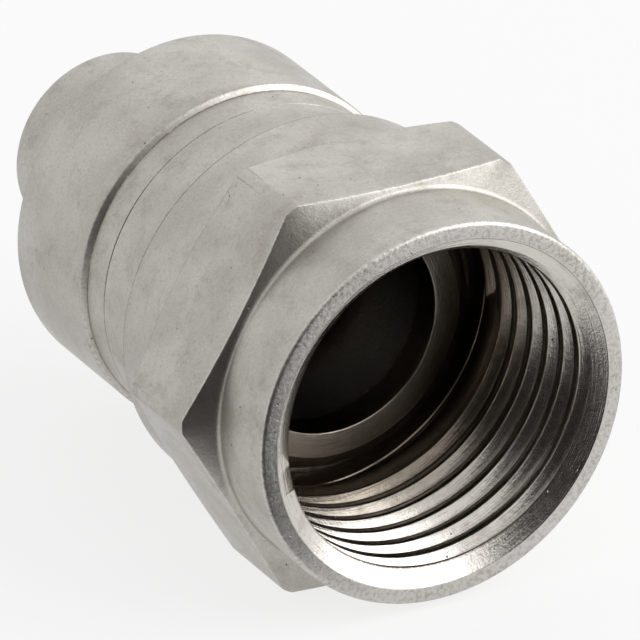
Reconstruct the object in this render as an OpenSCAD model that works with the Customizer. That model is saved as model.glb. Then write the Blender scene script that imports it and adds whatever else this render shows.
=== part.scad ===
// Male F connector for coaxial cable, lying on a flat of its hexagon.
// Units are millimetres and +Z is up. The connector's axis runs along Y,
// its mouth faces -Y, and the origin is on the axis where the threaded
// wall begins, just behind the countersunk mouth.
// Every piece is drawn as a section (radius, distance behind the mouth)
// and turned about that axis.

/* [Mouth and thread] */
// diameter over the crests of the internal thread
thread_crest_d = 8.74; // [8.6:0.01:8.9]
// length of the threaded wall
thread_len = 5.13; // [4.7:0.01:5.4]
// diameter of the countersink at the rim
sink_d = 9.7; // [9.3:0.05:9.9]
// depth of the countersink
sink_depth = 0.37; // [0.2:0.01:0.6]
// diameter of the relief behind the thread
relief_d = 9.6; // [9.4:0.05:9.8]
// length of the relief behind the thread
relief_len = 0.67; // [0.4:0.01:1]

/* [Front collar] */
// outer diameter of the collar
collar_d = 10.6; // [10.4:0.05:10.8]
// length of the collar from the rim to the foot of the hexagon
collar_len = 2.23; // [1.6:0.01:3]
// width of the bevel on the rim, across the rim
rim_bevel = 0.18; // [0.05:0.01:0.25]
// depth of the bevel on the rim, along the axis
rim_bevel_len = 0.12; // [0.05:0.01:0.3]
// radius of the fillet between the collar and the hexagon
collar_fillet = 0.15; // [0.08:0.01:0.2]

/* [Hexagon] */
// width of the hexagon across its flats
hex_flats = 11; // [10.9:0.05:12]
// diameter over the rounded corners of the hexagon
hex_corner_d = 12.5; // [12.3:0.05:12.7]
// length of the hexagon at its corners
hex_corner_len = 2.59; // [2:0.01:4]
// slope of the hexagon's front face, in degrees from square
hex_front_slope = 13; // [5:1:30]
// slope of the hexagon's rear bevel, in degrees from square
hex_rear_slope = 25; // [10:1:35]

/* [Skirt and lip of the nut] */
// outer diameter of the round skirt behind the hexagon
skirt_d = 10.54; // [10.3:0.02:10.8]
// thickness along the axis of the inward lip that the post holds
lip_len = 1.25; // [0.8:0.01:1.8]
// small bevel on the skirt's rear edge
skirt_bevel = 0.08; // [0.03:0.01:0.2]

/* [Fits] */
// radial running clearance between the nut's lip and the post
lip_clearance = 0.06; // [0.03:0.01:0.09]
// gap along the axis between the flange and the nut's lip
flange_gap = 0.07; // [0.04:0.01:0.15]
// gap along the axis between the nut and the body
body_gap = 0.06; // [0.04:0.01:0.15]
// gap along the axis between the post's shoulder and its seat
seat_gap = 0.05; // [0.02:0.01:0.2]

/* [Post] */
// diameter of the bore seen down the mouth
post_front_bore_d = 5.8; // [5.5:0.05:6]
// depth of the wide front bore, from the flange's face
post_front_bore_len = 3.8; // [2.5:0.05:4.2]
// bore for the cable's core
core_bore_d = 4.7; // [4.2:0.05:4.8]
// outer diameter of the flange
flange_d = 7.96; // [7.8:0.02:8.2]
// thickness of the flange
flange_len = 0.6; // [0.5:0.01:0.8]
// width of the bevel on the flange's front edge, across the flange
flange_bevel = 0.4; // [0.25:0.01:0.45]
// depth of the bevel on the flange's front edge, along the axis
flange_bevel_len = 0.25; // [0.1:0.01:0.4]
// outer diameter of the pressed part of the post
post_d = 6.5; // [6.4:0.02:6.8]
// length of the pressed part of the post behind the flange
post_press_len = 4.1; // [3.2:0.05:5]
// outer diameter of the post where its rear part is seated in the body
stem_seat_d = 5.84; // [5.8:0.02:6.1]
// outer diameter of the rear tube
stem_d = 5.4; // [5.2:0.05:5.45]
// length of the rear tube outside the body
stem_len = 4.14; // [2:0.02:8]
// rounding of the rear tube's outer edge
stem_round = 0.26; // [0.05:0.01:0.3]
// bevel inside the rear tube's end
stem_inner_bevel = 0.07; // [0.03:0.01:0.08]

/* [Body] */
// outer diameter of the body in front of the step
neck_d = 9.32; // [9:0.02:9.5]
// length of the body in front of the step
neck_len = 2.96; // [2:0.02:4]
// outer diameter of the barrel
barrel_d = 9.64; // [9.56:0.02:10]
// length of the barrel
barrel_len = 3.62; // [3:0.02:6]
// length along the axis of the bevel up to the barrel
step_bevel_len = 0.11; // [0.05:0.01:0.25]
// small bevel on the body's front edge
neck_bevel = 0.1; // [0.03:0.01:0.2]
// small bevel on the barrel's rear edge
barrel_bevel = 0.12; // [0.03:0.01:0.25]

/* [Hidden] */
$fn = 96;
// the parts' places, as distances behind the mouth's rim
thread_end = sink_depth + thread_len;
lip_front = thread_end + relief_len;
nut_end = lip_front + lip_len;
hex_corner_front = collar_len + (hex_corner_d - collar_d) / 2 * tan(hex_front_slope);
hex_corner_rear = hex_corner_front + hex_corner_len;
hex_rear = hex_corner_rear + (hex_corner_d - skirt_d) / 2 * tan(hex_rear_slope);
flange_rear = lip_front - flange_gap;
flange_front = flange_rear - flange_len;
body_front = nut_end + body_gap;
step_at = body_front + neck_len;
body_rear = step_at + barrel_len;
stem_end = body_rear + stem_len;
press_end = flange_rear + post_press_len;
shoulder_len = (post_d - stem_seat_d) / 2;
funnel_end = flange_front + post_front_bore_len + (post_front_bore_d - core_bore_d) / 2;
fillet_steps = 6;

// points of a quarter circle about (cr, cs), from angle a0 to a1
function arc(cr, cs, r, a0, a1, n) =
  [for (i = [0 : n]) [cr + r * cos(a0 + (a1 - a0) * i / n), cs + r * sin(a0 + (a1 - a0) * i / n)]];

// turns a section about the connector's axis and sets it behind the mouth
module turned() {
  translate([0, -sink_depth, 0]) rotate([-90, 0, 0]) rotate_extrude() children();
}

// the nut's outside: collar, hexagon's faces and skirt, without the flats
module nut_outline() {
  polygon(concat(
    [[0, 0], [collar_d / 2 - rim_bevel, 0], [collar_d / 2, rim_bevel_len]],
    [[collar_d / 2, collar_len - collar_fillet]],
    arc(collar_d / 2 + collar_fillet, collar_len - collar_fillet, collar_fillet, 180, 90 + hex_front_slope, fillet_steps),
    [[hex_corner_d / 2, hex_corner_front], [hex_corner_d / 2, hex_corner_rear], [skirt_d / 2, hex_rear]],
    [[skirt_d / 2, nut_end - skirt_bevel], [skirt_d / 2 - skirt_bevel, nut_end], [0, nut_end]]
  ));
}

// the nut's inside: countersink, threaded wall, relief and lip
module nut_bore() {
  over = 1;
  polygon([
    [0, -over], [sink_d / 2 + over * (sink_d - thread_crest_d) / 2 / sink_depth, -over],
    [thread_crest_d / 2, sink_depth], [thread_crest_d / 2, thread_end],
    [relief_d / 2, thread_end], [relief_d / 2, lip_front],
    [post_d / 2 + lip_clearance, lip_front], [post_d / 2 + lip_clearance, nut_end + over], [0, nut_end + over]
  ]);
}

// the space that the six flats leave
module hex_flats_prism() {
  translate([0, -sink_depth - 1, 0]) rotate([-90, 0, 0])
    cylinder(d = hex_flats / cos(30), h = nut_end + 2, $fn = 6);
}

module coupling_nut() {
  color("silver") difference() {
    intersection() {
      turned() nut_outline();
      hex_flats_prism();
    }
    turned() nut_bore();
  }
}

module post() {
  color("goldenrod") turned() polygon(concat(
    [[post_front_bore_d / 2, flange_front], [flange_d / 2 - flange_bevel, flange_front]],
    [[flange_d / 2, flange_front + flange_bevel_len], [flange_d / 2, flange_rear], [post_d / 2, flange_rear]],
    [[post_d / 2, press_end], [stem_seat_d / 2, press_end + shoulder_len], [stem_seat_d / 2, body_rear], [stem_d / 2, body_rear]],
    arc(stem_d / 2 - stem_round, stem_end - stem_round, stem_round, 0, 90, fillet_steps),
    [[core_bore_d / 2 + stem_inner_bevel, stem_end], [core_bore_d / 2, stem_end - stem_inner_bevel]],
    [[core_bore_d / 2, funnel_end], [post_front_bore_d / 2, flange_front + post_front_bore_len]]
  ));
}

module body_shell() {
  color("steelblue") turned() polygon([
    [post_d / 2, body_front], [neck_d / 2 - neck_bevel, body_front], [neck_d / 2, body_front + neck_bevel],
    [neck_d / 2, step_at], [barrel_d / 2, step_at + step_bevel_len],
    [barrel_d / 2, body_rear - barrel_bevel], [barrel_d / 2 - barrel_bevel, body_rear], [stem_seat_d / 2, body_rear],
    [stem_seat_d / 2, press_end + shoulder_len + seat_gap], [post_d / 2, press_end + seat_gap]
  ]);
}

coupling_nut();
post();
body_shell();
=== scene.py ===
import math

import bpy
from mathutils import Matrix, Vector


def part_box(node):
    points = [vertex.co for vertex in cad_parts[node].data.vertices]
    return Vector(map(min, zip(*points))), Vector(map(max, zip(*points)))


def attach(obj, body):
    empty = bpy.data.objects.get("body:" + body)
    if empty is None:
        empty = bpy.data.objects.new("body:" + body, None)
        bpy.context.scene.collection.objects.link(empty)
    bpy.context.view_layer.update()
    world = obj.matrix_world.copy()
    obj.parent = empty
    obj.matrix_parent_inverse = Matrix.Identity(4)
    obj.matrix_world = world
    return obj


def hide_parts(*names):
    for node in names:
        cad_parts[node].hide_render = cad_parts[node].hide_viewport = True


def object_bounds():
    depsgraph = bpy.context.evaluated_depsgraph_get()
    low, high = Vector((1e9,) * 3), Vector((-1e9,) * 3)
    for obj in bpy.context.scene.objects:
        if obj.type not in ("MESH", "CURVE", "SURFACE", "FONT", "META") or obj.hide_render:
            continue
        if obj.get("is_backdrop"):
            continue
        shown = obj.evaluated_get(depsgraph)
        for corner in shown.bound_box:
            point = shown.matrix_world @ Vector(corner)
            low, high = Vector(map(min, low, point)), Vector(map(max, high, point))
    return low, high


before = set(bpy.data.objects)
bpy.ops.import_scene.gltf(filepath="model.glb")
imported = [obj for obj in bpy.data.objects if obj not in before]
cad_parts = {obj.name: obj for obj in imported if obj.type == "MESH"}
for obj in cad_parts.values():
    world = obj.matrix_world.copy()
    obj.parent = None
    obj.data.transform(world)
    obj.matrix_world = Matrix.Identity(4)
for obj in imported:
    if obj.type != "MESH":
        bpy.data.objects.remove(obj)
scene = bpy.context.scene
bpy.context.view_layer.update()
mm = 0.001

# Each piece is made in millimetres and shrunk to metres at the end.
# A section is a list of corners: radius, distance behind the nut's rim, rounding.
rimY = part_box("coupling_nut")[0].y / mm
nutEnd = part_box("coupling_nut")[1].y / mm - rimY
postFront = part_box("post")[0].y / mm - rimY
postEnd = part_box("post")[1].y / mm - rimY
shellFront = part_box("body_shell")[0].y / mm - rimY
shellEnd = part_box("body_shell")[1].y / mm - rimY
print("frame loaded, rim at", round(rimY, 3), "mm")


def deselectAll():
    if bpy.context.object and bpy.context.object.mode != "OBJECT":
        bpy.ops.object.mode_set(mode="OBJECT")
    bpy.ops.object.select_all(action="DESELECT")


def activate(piece):
    deselectAll()
    piece.select_set(True)
    bpy.context.view_layer.objects.active = piece


def roundedCorners(corners, arcSteps):
    # corners with a rounding become short arcs
    points = []
    count = len(corners)
    for i, (r, s, rounding) in enumerate(corners):
        here = Vector((r, s))
        if not rounding:
            points.append(here)
            continue
        before = (Vector(corners[i - 1][:2]) - here).normalized()
        after = (Vector(corners[(i + 1) % count][:2]) - here).normalized()
        half = before.angle(after) / 2
        reach = rounding / math.tan(half)
        middle = here + (before + after).normalized() * (rounding / math.sin(half))
        start, end = here + before * reach - middle, here + after * reach - middle
        turn = start.angle_signed(end)
        for k in range(arcSteps + 1):
            points.append(middle + Matrix.Rotation(-turn * k / arcSteps, 2) @ start)
    return points


def turnedPiece(name, corners, steps, arcSteps=4):
    # a closed section, spun once round the connector's axis
    points = roundedCorners(corners, arcSteps)
    deselectAll()
    bpy.ops.mesh.primitive_circle_add(vertices=len(points), radius=1, fill_type="NOTHING")
    piece = bpy.context.object
    piece.name = piece.data.name = name
    for vertex, point in zip(piece.data.vertices, points):
        vertex.co = (point.x, rimY + point.y, 0)
    bpy.ops.object.mode_set(mode="EDIT")
    bpy.ops.mesh.select_all(action="SELECT")
    bpy.ops.mesh.spin(steps=steps, angle=2 * math.pi, center=(0, 0, 0), axis=(0, 1, 0))
    bpy.ops.mesh.select_all(action="SELECT")
    bpy.ops.mesh.remove_doubles(threshold=0.0005)
    bpy.ops.mesh.normals_make_consistent(inside=False)
    bpy.ops.object.mode_set(mode="OBJECT")
    return piece


def applyModifiers(piece):
    activate(piece)
    for modifier in list(piece.modifiers):
        bpy.ops.object.modifier_apply(modifier=modifier.name)


def finishPiece(piece, body, node, material, smoothAngle=35):
    # to metres, then smooth shading, the material and the ride
    activate(piece)
    piece.scale = (mm, mm, mm)
    bpy.ops.object.transform_apply(location=True, rotation=True, scale=True)
    bpy.ops.object.shade_smooth_by_angle(angle=math.radians(smoothAngle))
    piece.data.materials.clear()
    piece.data.materials.append(material)
    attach(piece, body)
    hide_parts(node)
    print(piece.name, len(piece.data.vertices), "vertices")


class Wire:
    # wraps a socket, so that sums on it add their Math nodes
    def __init__(self, tree, socket):
        self.tree = tree
        self.socket = socket

    def node(self, kind, settings=None, inputs=None, output=0):
        made = self.tree.nodes.new(kind)
        for name, value in (settings or {}).items():
            setattr(made, name, value)
        for name, value in (inputs or {}).items():
            if isinstance(value, Wire):
                self.tree.links.new(value.socket, made.inputs[name])
            else:
                made.inputs[name].default_value = value
        return Wire(self.tree, made.outputs[output])

    def math(self, operation, *values, clamp=False):
        return self.node("ShaderNodeMath", {"operation": operation, "use_clamp": clamp}, dict(enumerate(values)))

    def __add__(self, other):
        return self.math("ADD", self, other)

    def __radd__(self, other):
        return self.math("ADD", other, self)

    def __sub__(self, other):
        return self.math("SUBTRACT", self, other)

    def __rsub__(self, other):
        return self.math("SUBTRACT", other, self)

    def __mul__(self, other):
        return self.math("MULTIPLY", self, other)

    def clamp(self):
        return self.math("ADD", self, 0.0, clamp=True)

    def between(self, low, high):
        # 0 at low, 1 at high, smooth between
        values = {"Value": self, "From Min": low, "From Max": high}
        return self.node("ShaderNodeMapRange", {"interpolation_type": "SMOOTHSTEP"}, values)

    def near(self, middle, width):
        # 1 at the middle, falling to 0 at that distance from it
        return 1 - self.math("ABSOLUTE", self - middle).between(0, width)

    def mixed(self, other, factor):
        # colours: self where factor is 0, other where it is 1
        return mixedTones(self, self, other, factor)

    def noise(self, place, scale, detail=2.0, roughness=0.5):
        values = {"Vector": place, "Scale": scale, "Detail": detail, "Roughness": roughness}
        return self.node("ShaderNodeTexNoise", {}, values)


def mixedTones(start, first, second, factor):
    # first and second are colours or links to them
    return start.node("ShaderNodeMix", {"data_type": "RGBA"}, {"Factor": factor, 6: first, 7: second}, output=2)


def blankMaterial(name):
    material = bpy.data.materials.new(name)
    material.use_nodes = True
    tree = material.node_tree
    tree.nodes.clear()
    output = tree.nodes.new("ShaderNodeOutputMaterial")
    return material, tree, output


platingLook = {
    "toneLight": (0.48, 0.463, 0.43, 1),
    "toneMiddle": (0.405, 0.387, 0.353, 1),
    "toneWarm": (0.32, 0.295, 0.252, 1),
    "toneGrain": (0.24, 0.225, 0.2, 1),
    # bright sparkle in the grain, and the painted highlight on rubbed edges
    "toneSpark": (0.68, 0.665, 0.64, 1),
    "toneThread": (0.62, 0.59, 0.55, 1),
    # painted shade: the inside tone darkens to this deeper in
    "toneDeepShade": (0.26, 0.225, 0.185, 1),
    # painted shade: nearly black for the post's bore
    "toneBoreShade": (0.075, 0.062, 0.045, 1),
    # dark brown for real pits, stains and turned lines, and also for the painted shade in creases and seams
    "toneDirtAndShade": (0.09, 0.078, 0.062, 1),
    "roughness": 0.4,
    "roughnessInside": 0.22,
    "grainHeight": 0.0036,
    "nickHeight": 0.02,
}


class Place:
    # where a point lies on the connector, in millimetres
    def __init__(self, tree):
        start = Wire(tree, None)
        point = start.node("ShaderNodeTexCoord", output=3)
        self.point = start.node("ShaderNodeVectorMath", {"operation": "SCALE"}, {0: point, "Scale": 1 / mm})
        x, y, z = (start.node("ShaderNodeSeparateXYZ", {}, {0: self.point}, output=k) for k in range(3))
        self.depth = y - rimY
        self.radius = start.math("SQRT", x * x + z * z)
        angle = start.math("ARCTAN2", z, x)
        fold = start.math("FLOORED_MODULO", angle, math.pi / 3) - math.pi / 6
        self.flat = self.radius * start.math("COSINE", fold)  # distance out towards the nearest flat
        # a pattern on this runs in long streaks round the axis
        self.ring = start.node("ShaderNodeCombineXYZ", {}, {0: self.radius, 1: y, 2: angle * 0.08})


def nickelPlating(name, look, masks):
    # masks takes a place and gives the places of the finish's details: real wear, painted highlights and painted
    # shade
    material, tree, output = blankMaterial(name)
    start = Wire(tree, None)
    at = Place(tree)
    given = masks(at)
    cloud = start.noise(at.point, 0.45, 3.0, 0.55)
    stain = start.noise(at.point, 1.4, 5.0, 0.62)
    speck = start.noise(at.point, 7.0, 3.0, 0.65)
    grain = start.noise(at.point, 17.0, 2.0, 0.65)
    turned = start.noise(at.ring, 9.0, 3.0, 0.6)
    ragged = start.noise(at.point, 8.0, 3.0, 0.65)
    cells = start.node("ShaderNodeTexVoronoi", {}, {"Vector": at.point, "Scale": 2.6})
    pit = (1 - cells.between(0.03, 0.09)) * start.noise(at.point, 2.6, 0.0).between(0.56, 0.62)
    colour = mixedTones(start, look["toneMiddle"], look["toneLight"], cloud.between(0.36, 0.64))
    warm = (stain.between(0.5, 0.72) * 0.5 + speck.between(0.52, 0.72) * 0.35).clamp()
    colour = colour.mixed(look["toneWarm"], warm)
    colour = colour.mixed(look["toneGrain"], grain.between(0.52, 0.78) * 0.42)
    colour = colour.mixed(look["toneSpark"], (1 - grain.between(0.24, 0.46)) * 0.3)
    rough = look["roughness"] + (stain - 0.5) * 0.16 + (speck - 0.5) * 0.14
    height = grain * look["grainHeight"] + speck * (look["grainHeight"] * 1.4) + turned * 0.0012
    if "inside" in given:
        # inside: a brighter, smoother copy of the plating, painted darker deeper in as shade, with real turned
        # lines and stains on top
        lines = start.noise(at.ring, 24.0, 2.0, 0.7)
        tone = mixedTones(start, look["toneThread"], look["toneDeepShade"], given["deepShade"])
        tone = tone.mixed(look["toneDirtAndShade"], lines.between(0.55, 0.75) * 0.35 + stain.between(0.5, 0.7) * 0.25)
        colour = colour.mixed(tone, given["inside"])
        rough = rough + given["inside"] * (look["roughnessInside"] - look["roughness"])
        height = height + given["inside"] * lines * 0.006
    # real wear nicks in the bump, and a painted highlight: ragged spots lightened towards the bright tone
    if "wearAndHighlight" in given:
        colour = colour.mixed(look["toneSpark"], given["wearAndHighlight"] * ragged.between(0.38, 0.55) * 0.8)
        height = height + given["wearAndHighlight"] * ragged * look["nickHeight"]
    # painted shade: dark ragged lines along creases, seams and edges, where shade falls
    if "creaseShade" in given:
        colour = colour.mixed(look["toneDirtAndShade"], given["creaseShade"] * ragged.between(0.3, 0.5))
    # painted shade: the post's bore is painted nearly black
    if "bore" in given:
        colour = colour.mixed(look["toneBoreShade"], given["bore"])
    colour = colour.mixed(look["toneDirtAndShade"], pit)
    height = height - pit * 0.012
    bump = start.node("ShaderNodeBump", {}, {"Strength": 1.0, "Distance": 0.001, "Height": height})
    surface = tree.nodes.new("ShaderNodeBsdfPrincipled")
    surface.inputs["Metallic"].default_value = 1.0
    tree.links.new(colour.socket, surface.inputs["Base Color"])
    tree.links.new(rough.socket, surface.inputs["Roughness"])
    tree.links.new(bump.socket, surface.inputs["Normal"])
    tree.links.new(surface.outputs[0], output.inputs[0])
    return material


def nutMasks(at):
    # how far a point lies behind the hexagon's sloping front and rear faces
    slope, rearSlope, cornerFront, cornerRear = hexagonEnds(couplingNut)
    front = at.depth - (at.radius - couplingNut["cornerRadius"]) * slope - cornerFront
    rear = at.depth - (couplingNut["cornerRadius"] - at.radius) * rearSlope - cornerRear
    onEdge = at.flat.between(5.465, 5.49)
    # the rim's front face and the hexagon's front edges get real nicks and a painted highlight
    rimFace = (1 - at.depth.between(0.05, 0.12)) * at.radius.between(4.84, 4.87)
    frontNicks = front.near(0.03, 0.06) * onEdge
    # painted shade where the flats meet the rear cone, at the nut's rear seam against the neck and round the
    # rim's inner edge; the countersink's edge is partly a burr, partly painted shade
    rearLine = rear.near(-0.02, 0.06) * at.flat.near(5.46, 0.07) * (1 - at.radius.between(6.1, 6.2))
    seam = at.depth.between(nutEnd - 0.09, nutEnd - 0.06) * at.radius.between(5.0, 5.1)
    sinkEdge = at.depth.near(couplingNut["sinkDepth"], 0.035) * (1 - at.radius.between(4.42, 4.48))
    rimLine = at.radius.near(4.85, 0.025) * (1 - at.depth.between(0.04, 0.06))
    return {
        "inside": 1 - at.radius.between(4.84, 4.9),
        # painted shade deeper in the nut's bore
        "deepShade": at.depth.between(2.0, 5.0),
        "wearAndHighlight": (rimFace * 0.65 + frontNicks * 0.7).clamp(),
        "creaseShade": (rearLine * 0.6 + seam + sinkEdge * 0.8 + rimLine * 0.6).clamp(),
    }


def postMasks(at):
    # the post's bore, painted nearly black as shade
    wide = (1 - at.radius.between(2.86, 2.96)) * (1 - at.depth.between(9.9, 10.0))
    core = 1 - at.radius.between(2.37, 2.41)
    return {
        "inside": 1 - at.depth.between(6.3, 6.6),
        # painted shade on the post's flange face, deep in the mouth
        "deepShade": at.depth.between(5.0, 5.4) * 0.8,
        "bore": at.depth.between(5.5, 5.75) * (wide + core).clamp(),
    }


def shellMasks(at):
    # painted shade in the turned line, at the step and along the barrel's rear edge against the tube
    line = at.depth.near(bodyShell["lineAt"], 0.03)
    step = at.depth.near(bodyShell["stepAt"] - 0.01, 0.035)
    rear = at.depth.between(shellEnd - 0.1, shellEnd - 0.06) * at.radius.between(4.66, 4.7)
    return {
        # painted highlight on the step's bevel, with a little wear
        "wearAndHighlight": at.depth.near(bodyShell["stepAt"] + 0.08, 0.06) * 0.5,
        "creaseShade": (line * 0.8 + step * 0.7 + rear * 0.8).clamp(),
    }


couplingNut = {
    "steps": 192,
    "rimInner": 4.85,
    "boreRadius": 4.37,
    "sinkDepth": 0.26,
    "threadEnd": 5.5,
    "reliefRadius": 4.8,
    "lipFront": 6.17,
    "lipRadius": 3.31,
    "collarRadius": 5.3,
    "rimRound": 0.11,
    "collarLength": 2.23,
    "collarFillet": 0.15,
    "cornerRadius": 6.25,
    "cornerLength": 2.59,
    "frontSlope": 13,
    "rearSlope": 25,
    "flatDistance": 5.5,
    "flatBevel": 0.05,
    "skirtRadius": 5.27,
    "threadPitch": 0.79375,
    "threadRoot": 4.7625,
    "threadTurns": 8,
    "threadStart": -1.17,
}


def hexagonEnds(size):
    # the slopes of the hexagon's two faces, and where its corners begin and end
    slope = math.tan(math.radians(size["frontSlope"]))
    rearSlope = math.tan(math.radians(size["rearSlope"]))
    cornerFront = size["collarLength"] + (size["cornerRadius"] - size["collarRadius"]) * slope
    return slope, rearSlope, cornerFront, cornerFront + size["cornerLength"]


def buildCouplingNut(size):
    slope, rearSlope, cornerFront, cornerRear = hexagonEnds(size)
    hexRear = cornerRear + (size["cornerRadius"] - size["skirtRadius"]) * rearSlope
    collar = size["collarRadius"]
    section = [
        (size["rimInner"], 0, 0.03),
        (collar, 0, size["rimRound"]),
        (collar, size["collarLength"], size["collarFillet"]),
        (size["cornerRadius"], cornerFront, 0),
        (size["cornerRadius"], cornerRear, 0),
        (size["skirtRadius"], hexRear, 0.1),
        (size["skirtRadius"], nutEnd, 0.08),
        (size["lipRadius"], nutEnd, 0.1),
        (size["lipRadius"], size["lipFront"], 0.05),
        (size["reliefRadius"], size["lipFront"], 0.1),
        (size["reliefRadius"], size["threadEnd"], 0.04),
        (size["boreRadius"], size["threadEnd"], 0),
        (size["boreRadius"], size["sinkDepth"], 0),
    ]
    nut = turnedPiece("nutDressed", section, size["steps"])
    # the six flats are cut off and closed one by one
    bpy.ops.object.mode_set(mode="EDIT")
    for k in range(6):
        angle = math.radians(90 + 60 * k)
        outwards = Vector((math.cos(angle), 0, math.sin(angle)))
        bpy.ops.mesh.select_all(action="SELECT")
        bpy.ops.mesh.bisect(
            plane_co=outwards * size["flatDistance"], plane_no=outwards,
            use_fill=True, clear_outer=True, threshold=0.0001)
    bpy.ops.object.mode_set(mode="OBJECT")

    def onFlat(point):
        angle = math.degrees(math.atan2(point.z, point.x)) % 60 - 30
        return abs(math.hypot(point.x, point.z) * math.cos(math.radians(angle)) - size["flatDistance"]) < 0.002

    # the flats' outlines are rounded over
    activate(nut)
    bpy.ops.object.mode_set(mode="EDIT")
    bpy.ops.mesh.select_mode(type="FACE")
    bpy.ops.mesh.select_all(action="DESELECT")
    bpy.ops.object.mode_set(mode="OBJECT")
    for face in nut.data.polygons:
        face.select = onFlat(face.center) and len(face.vertices) > 12 and abs(face.normal.y) < 0.01
    print("flats found", sum(face.select for face in nut.data.polygons))
    bpy.ops.object.mode_set(mode="EDIT")
    bpy.ops.mesh.region_to_loop()
    bpy.ops.mesh.remove_doubles(threshold=0.04)
    bpy.ops.mesh.bevel(offset=size["flatBevel"], segments=3, affect="EDGES", clamp_overlap=False)
    bpy.ops.object.mode_set(mode="OBJECT")
    return nut


def buildThreadCutter(size):
    # the groove's outline, wound into a coil that is cut out of the bore
    root = size["threadPitch"] / 30
    flank = (size["threadRoot"] - size["boreRadius"]) * math.tan(math.radians(30))
    outline = [
        (-root, size["threadRoot"]),
        (root, size["threadRoot"]),
        (root + flank - 0.012, size["boreRadius"] + 0.02),
        (root + flank + 0.07, size["boreRadius"] - 0.03),
        (-root - flank - 0.07, size["boreRadius"] - 0.03),
        (-root - flank + 0.012, size["boreRadius"] + 0.02),
    ]
    deselectAll()
    bpy.ops.mesh.primitive_circle_add(vertices=len(outline), radius=1, fill_type="NOTHING")
    cutter = bpy.context.object
    cutter.name = "threadCutter"
    for vertex, (s, r) in zip(cutter.data.vertices, outline):
        vertex.co = (r, rimY + size["threadStart"] + s, 0)
    winding = cutter.modifiers.new("winding", "SCREW")
    winding.axis = "Y"
    winding.angle = 2 * math.pi
    winding.screw_offset = size["threadPitch"]
    winding.iterations = size["threadTurns"]
    winding.steps = winding.render_steps = size["steps"]
    winding.use_merge_vertices = False
    applyModifiers(cutter)
    bpy.ops.object.mode_set(mode="EDIT")
    bpy.ops.mesh.select_mode(type="EDGE")
    bpy.ops.mesh.select_all(action="DESELECT")
    bpy.ops.mesh.select_non_manifold()
    bpy.ops.mesh.edge_face_add()
    bpy.ops.mesh.select_all(action="SELECT")
    bpy.ops.mesh.normals_make_consistent(inside=False)
    bpy.ops.object.mode_set(mode="OBJECT")
    return cutter


nut = buildCouplingNut(couplingNut)
cutter = buildThreadCutter(couplingNut)
cut = nut.modifiers.new("thread", "BOOLEAN")
cut.operation = "DIFFERENCE"
cut.solver = "EXACT"
cut.object = cutter
applyModifiers(nut)
bpy.data.objects.remove(cutter)
nutPlating = nickelPlating("nutPlating", platingLook, nutMasks)
finishPiece(nut, "nut", "coupling_nut", nutPlating)
print("coupling nut made")

innerPost = {
    "steps": 160,
    "boreRadius": 2.9,
    "boreLength": 3.8,
    "coreRadius": 2.35,
    "flangeRadius": 3.98,
    "flangeLength": 0.6,
    "flangeBevel": 0.4,
    "flangeBevelLength": 0.25,
    "pressRadius": 3.25,
    "pressEnd": 10.2,
    "seatRadius": 2.92,
    "tubeRadius": 2.7,
    "tubeRound": 0.26,
    "tubeInnerBevel": 0.07,
}


def buildInnerPost(size):
    front = postFront
    funnel = size["boreRadius"] - size["coreRadius"]
    section = [
        (size["boreRadius"], front, 0.04),
        (size["flangeRadius"] - size["flangeBevel"], front, 0.04),
        (size["flangeRadius"], front + size["flangeBevelLength"], 0.04),
        (size["flangeRadius"], front + size["flangeLength"], 0.03),
        (size["pressRadius"], front + size["flangeLength"], 0),
        (size["pressRadius"], size["pressEnd"], 0),
        (size["seatRadius"], size["pressEnd"] + size["pressRadius"] - size["seatRadius"], 0),
        (size["seatRadius"], shellEnd, 0),
        (size["tubeRadius"], shellEnd, 0),
        (size["tubeRadius"], postEnd, size["tubeRound"]),
        (size["coreRadius"] + size["tubeInnerBevel"], postEnd, 0.03),
        (size["coreRadius"], postEnd - size["tubeInnerBevel"], 0.03),
        (size["coreRadius"], front + size["boreLength"] + funnel, 0.1),
        (size["boreRadius"], front + size["boreLength"], 0.1),
    ]
    return turnedPiece("postDressed", section, size["steps"])


post = buildInnerPost(innerPost)
postPlating = nickelPlating("postPlating", platingLook, postMasks)
finishPiece(post, "connector", "post", postPlating)
print("post made")

bodyShell = {
    "steps": 192,
    "pressRadius": 3.25,
    "pressEnd": 10.25,
    "seatRadius": 2.92,
    "neckRadius": 4.66,
    "lineAt": 9.53,
    "lineWidth": 0.045,
    "lineDepth": 0.02,
    "stepAt": 10.44,
    "stepLength": 0.11,
    "barrelRadius": 4.82,
    "barrelBevel": 0.12,
}


def buildBodyShell(size):
    section = [
        (size["pressRadius"], shellFront, 0.03),
        (size["neckRadius"], shellFront, 0.1),
        (size["neckRadius"], size["lineAt"] - size["lineWidth"] / 2, 0),
        (size["neckRadius"] - size["lineDepth"], size["lineAt"], 0),
        (size["neckRadius"], size["lineAt"] + size["lineWidth"] / 2, 0),
        (size["neckRadius"], size["stepAt"], 0.02),
        (size["barrelRadius"], size["stepAt"] + size["stepLength"], 0.09),
        (size["barrelRadius"], shellEnd, size["barrelBevel"]),
        (size["seatRadius"], shellEnd, 0.05),
        (size["seatRadius"], size["pressEnd"] + size["pressRadius"] - size["seatRadius"], 0),
        (size["pressRadius"], size["pressEnd"], 0),
    ]
    return turnedPiece("shellDressed", section, size["steps"])


shell = buildBodyShell(bodyShell)
shellPlating = nickelPlating("shellPlating", platingLook, shellMasks)
finishPiece(shell, "connector", "body_shell", shellPlating)
print("body shell made")

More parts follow.
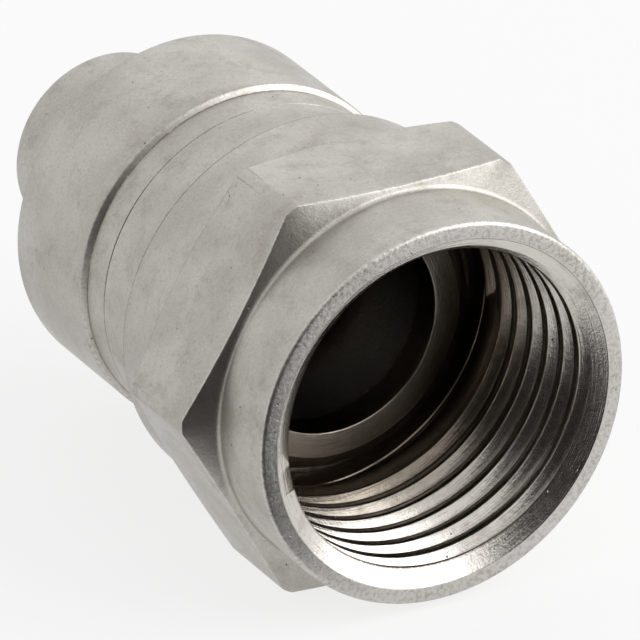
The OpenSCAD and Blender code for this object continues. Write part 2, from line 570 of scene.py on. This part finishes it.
studio = {
    "floorSize": 3.0,
    "floorColour": (0.9, 0.9, 0.9, 1),
    "floorShare": 0.22,
    "worldLight": 0.6,
    "flagColour": (0.03, 0.027, 0.024, 1),
    "flagCorners": [(0.001, -0.003), (0.045, -0.2), (-0.2, 0.03), (-0.03, -0.003)],
    "flagHeight": 0.08,
    # name: direction from the connector, distance, width, height, radiance
    "lamps": {
        "sideLamp": ((0.78, -0.49, 0.4), 0.5, 0.7, 0.62, 1.6),
        "backLamp": ((0.44, 0.78, 0.46), 0.6, 0.5, 0.4, 0.2),
    },
}


def buildFloor(look):
    # a pale floor, seen partly by its own light and partly with the connector's shadow on it
    deselectAll()
    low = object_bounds()[0].z
    bpy.ops.mesh.primitive_grid_add(
        x_subdivisions=8, y_subdivisions=8, size=look["floorSize"], location=(0, 0, low))
    floor = bpy.context.object
    floor.name = "floor"
    bpy.ops.object.transform_apply(location=True, rotation=True, scale=True)
    material, tree, output = blankMaterial("paleFloor")
    start = Wire(tree, None)
    diffuse = start.node("ShaderNodeBsdfDiffuse", {}, {"Color": look["floorColour"]})
    glow = start.node("ShaderNodeEmission", {}, {"Color": (1, 1, 1, 1), "Strength": 1.0})
    factor = seenRays(tree) * (1 - look["floorShare"])
    both = start.node("ShaderNodeMixShader", {}, {0: factor, 1: diffuse, 2: glow})
    tree.links.new(both.socket, output.inputs[0])
    floor.data.materials.append(material)
    floor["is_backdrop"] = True
    return low


def seenRays(tree):
    # 1 for what the camera sees, straight, mirrored or through glass
    path = tree.nodes.new("ShaderNodeLightPath")
    names = ("Is Camera Ray", "Is Glossy Ray", "Is Transmission Ray")
    camera, glossy, through = (Wire(tree, path.outputs[name]) for name in names)
    return (camera + glossy + through).clamp()


def buildFlag(look, low):
    # a black card before the mouth, bent up at its far edge and seen only in the metal, where it gives a painted
    # dark reflection as shade
    deselectAll()
    bpy.ops.mesh.primitive_plane_add(size=1, location=(0, 0, low + 0.0002))
    flag = bpy.context.object
    flag.name = "blackFlag"
    bpy.ops.object.transform_apply(location=True, rotation=True, scale=True)
    for vertex, (x, y) in zip((flag.data.vertices[k] for k in (1, 3, 2, 0)), look["flagCorners"]):
        vertex.co.x, vertex.co.y = x, rimY * mm + y
    for edge in flag.data.edges:
        edge.select = set(edge.vertices) == {2, 3}
    for part in (flag.data.vertices, flag.data.polygons):
        part.foreach_set("select", [False] * len(part))
    bpy.ops.object.mode_set(mode="EDIT")
    bpy.ops.mesh.select_mode(type="EDGE")
    bpy.ops.mesh.extrude_edges_move(TRANSFORM_OT_translate={"value": (0, 0, look["flagHeight"])})
    bpy.ops.object.mode_set(mode="OBJECT")
    material, tree, output = blankMaterial("blackCard")
    card = Wire(tree, None).node("ShaderNodeBsdfDiffuse", {}, {"Color": look["flagColour"]})
    tree.links.new(card.socket, output.inputs[0])
    flag.data.materials.append(material)
    flag.visible_camera = flag.visible_diffuse = flag.visible_shadow = flag.visible_transmission = False
    flag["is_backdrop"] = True
    print("flag", len(flag.data.vertices), "corners")


def buildWorld(look):
    world = bpy.data.worlds.new("studio")
    scene.world = world
    world.use_nodes = True
    tree = world.node_tree
    tree.nodes.clear()
    start = Wire(tree, None)
    light = start.node("ShaderNodeBackground", {}, {"Color": (1, 1, 1, 1), "Strength": look["worldLight"]})
    white = start.node("ShaderNodeBackground", {}, {"Color": (1, 1, 1, 1), "Strength": 1.0})
    both = start.node("ShaderNodeMixShader", {}, {0: seenRays(tree), 1: light, 2: white})
    output = tree.nodes.new("ShaderNodeOutputWorld")
    tree.links.new(both.socket, output.inputs[0])


def buildLamps(look):
    for name, (direction, distance, width, height, radiance) in look["lamps"].items():
        data = bpy.data.lights.new(name, "AREA")
        data.shape = "RECTANGLE"
        data.size, data.size_y = width, height
        data.energy = radiance * 4 * width * height
        lamp = bpy.data.objects.new(name, data)
        scene.collection.objects.link(lamp)
        towards = Vector(direction).normalized()
        lamp.location = towards * distance
        lamp.rotation_euler = (-towards).to_track_quat("-Z", "Y").to_euler()


def buildCamera():
    data = bpy.data.cameras.new("camera")
    data.sensor_width = 36
    data.lens = 675
    camera = bpy.data.objects.new("camera", data)
    scene.collection.objects.link(camera)
    right = Vector((0.8714, -0.4904, 0.0118)).normalized()
    forward = Vector((0.4446, 0.7794, -0.4414)).normalized()
    up = right.cross(forward)
    turn = Matrix((right, up, -forward)).transposed().to_4x4()
    camera.matrix_world = Matrix.Translation(Vector((-0.13774513, -0.23541859, 0.13664411))) @ turn
    scene.camera = camera


floorLevel = buildFloor(studio)
buildFlag(studio, floorLevel)
buildWorld(studio)
buildLamps(studio)
buildCamera()
scene.view_settings.view_transform = "Standard"
print("studio made")
